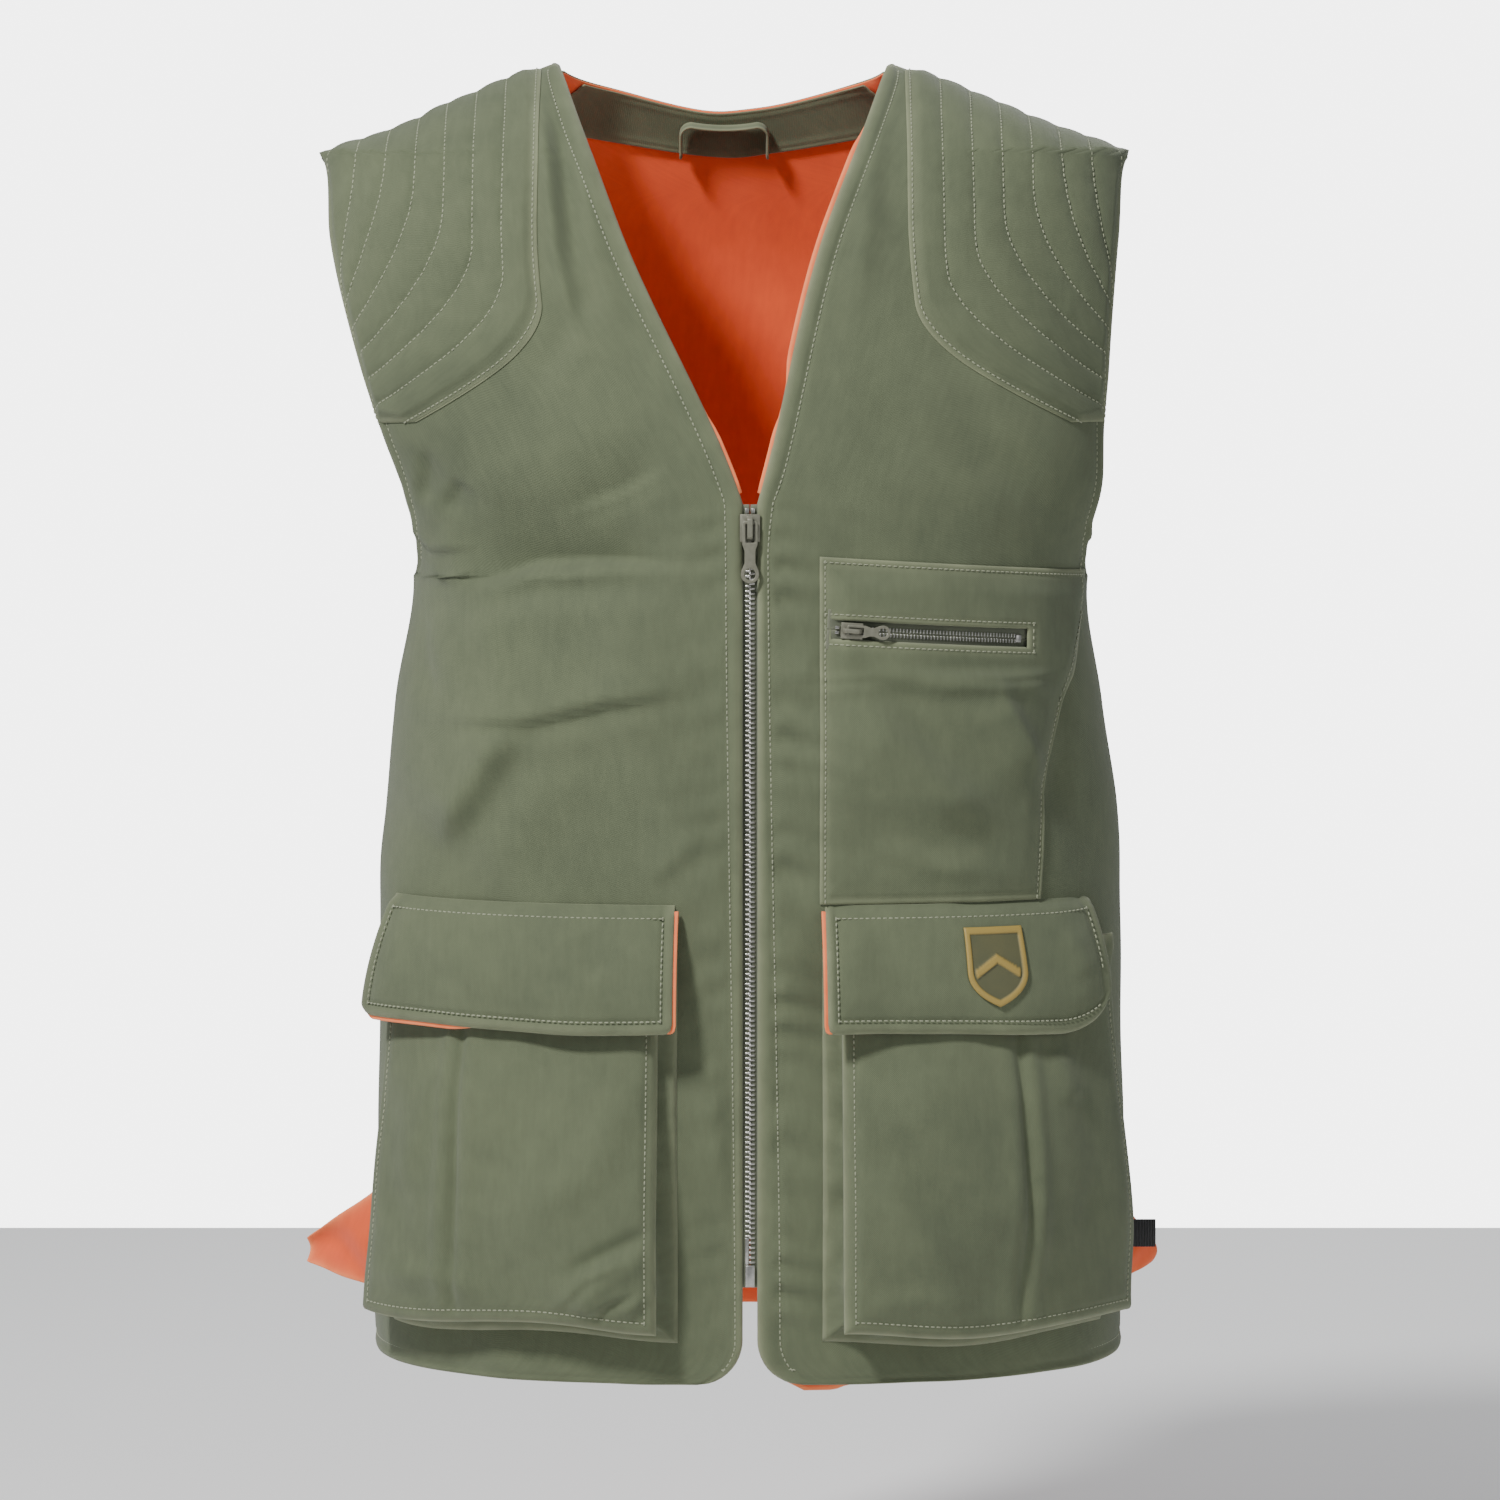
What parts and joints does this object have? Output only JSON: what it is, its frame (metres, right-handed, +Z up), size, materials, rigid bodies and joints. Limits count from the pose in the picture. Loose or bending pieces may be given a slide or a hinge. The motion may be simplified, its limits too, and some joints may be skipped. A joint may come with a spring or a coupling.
{
  "type": "hunting vest",
  "caption": "Reversible sleeveless hunting vest with V neck, zip front, quilted shoulder patches, zipped chest pocket, flapped bellows pockets and a rear game pouch",
  "frame": {"origin": "centre line, level with the neck points of the shoulders, midway between front and back: where the vest hangs from", "axes": "+Z up, the front faces -Y, +X is the wearer's left"},
  "size_m": [0.5009, 0.3144, 0.7297],
  "materials": {
    "green_twill": "matt",
    "blaze_lining": "satin",
    "zip_tape": "matt",
    "zip_metal": "satin",
    "puller_paint": "satin",
    "grip_tape": "matt",
    "badge_rubber": "matt",
    "webbing": "matt"
  },
  "bodies": {
    "vest": {"front_shell_right": "green_twill", "front_lining_right": "blaze_lining", "front_shell_left": "green_twill", "front_lining_left": "blaze_lining", "back_shell": "green_twill", "back_lining": "blaze_lining", "shoulder_patch_right": "green_twill", "shoulder_patch_left": "green_twill", "zip_tape_right": "zip_tape", "zip_teeth_right": "zip_metal", "zip_top_stop_right": "zip_metal", "zip_tape_left": "zip_tape", "zip_teeth_left": "zip_metal", "zip_top_stop_left": "zip_metal", "zip_insertion_pin": "zip_metal", "zip_retainer_box": "zip_metal", "chest_zip_tape_upper": "zip_tape", "chest_zip_teeth_upper": "zip_metal", "chest_zip_top_stop_upper": "zip_metal", "chest_zip_tape_lower": "zip_tape", "chest_zip_teeth_lower": "zip_metal", "chest_zip_top_stop_lower": "zip_metal", "chest_zip_bottom_stop": "zip_metal", "chest_pocket_panel": "green_twill", "cargo_pocket_right": "green_twill", "cargo_gusset_right": "green_twill", "pocket_loop_tape_right": "grip_tape", "cargo_pocket_left": "green_twill", "cargo_gusset_left": "green_twill", "pocket_loop_tape_left": "grip_tape", "game_pouch": "blaze_lining", "pouch_gusset_right": "blaze_lining", "pouch_gusset_left": "blaze_lining", "side_tab_left": "webbing", "neck_facing": "green_twill", "hanging_loop": "green_twill"},
    "main_slider": {"zip_slider": "zip_metal"},
    "main_puller": {"zip_puller": "puller_paint"},
    "chest_slider": {"chest_zip_slider": "zip_metal"},
    "chest_puller": {"chest_zip_puller": "puller_paint"},
    "flap_right": {"pocket_flap_right": "green_twill", "flap_lining_right": "blaze_lining", "flap_hook_tape_right": "grip_tape"},
    "flap_left": {"pocket_flap_left": "green_twill", "flap_lining_left": "blaze_lining", "flap_hook_tape_left": "grip_tape", "flap_badge": "badge_rubber"}
  },
  "joints": [
    {"name": "main_zip", "type": "slide", "parent": "vest", "child": "main_slider", "axis": [0, -0.0228, -0.9997], "range_m": [0, 0.395]},
    {"name": "main_puller_swing", "type": "hinge", "parent": "main_slider", "child": "main_puller", "pos_m": [0, -0.12984, -0.25742], "axis": [-1, 0, 0], "range_deg": [0, 160]},
    {"name": "chest_zip", "type": "hinge", "parent": "vest", "child": "chest_slider", "pos_m": [0.03579, 0.0825, -0.315], "axis": [0.061, 0, 0.9981], "range_deg": [0, 24]},
    {"name": "chest_puller_swing", "type": "hinge", "parent": "chest_slider", "child": "chest_puller", "pos_m": [0.05314, -0.13489, -0.31606], "axis": [-0.061, 0, -0.9981], "range_deg": [0, 160]},
    {"name": "flap_right_lift", "type": "hinge", "parent": "vest", "child": "flap_right", "pos_m": [-0.13046, -0.11504, -0.46593], "axis": [-0.934, 0.3572, 0], "range_deg": [0, 120]},
    {"name": "flap_left_lift", "type": "hinge", "parent": "vest", "child": "flap_left", "pos_m": [0.13046, -0.11504, -0.46593], "axis": [-0.934, -0.3572, 0], "range_deg": [0, 120]}
  ]
}
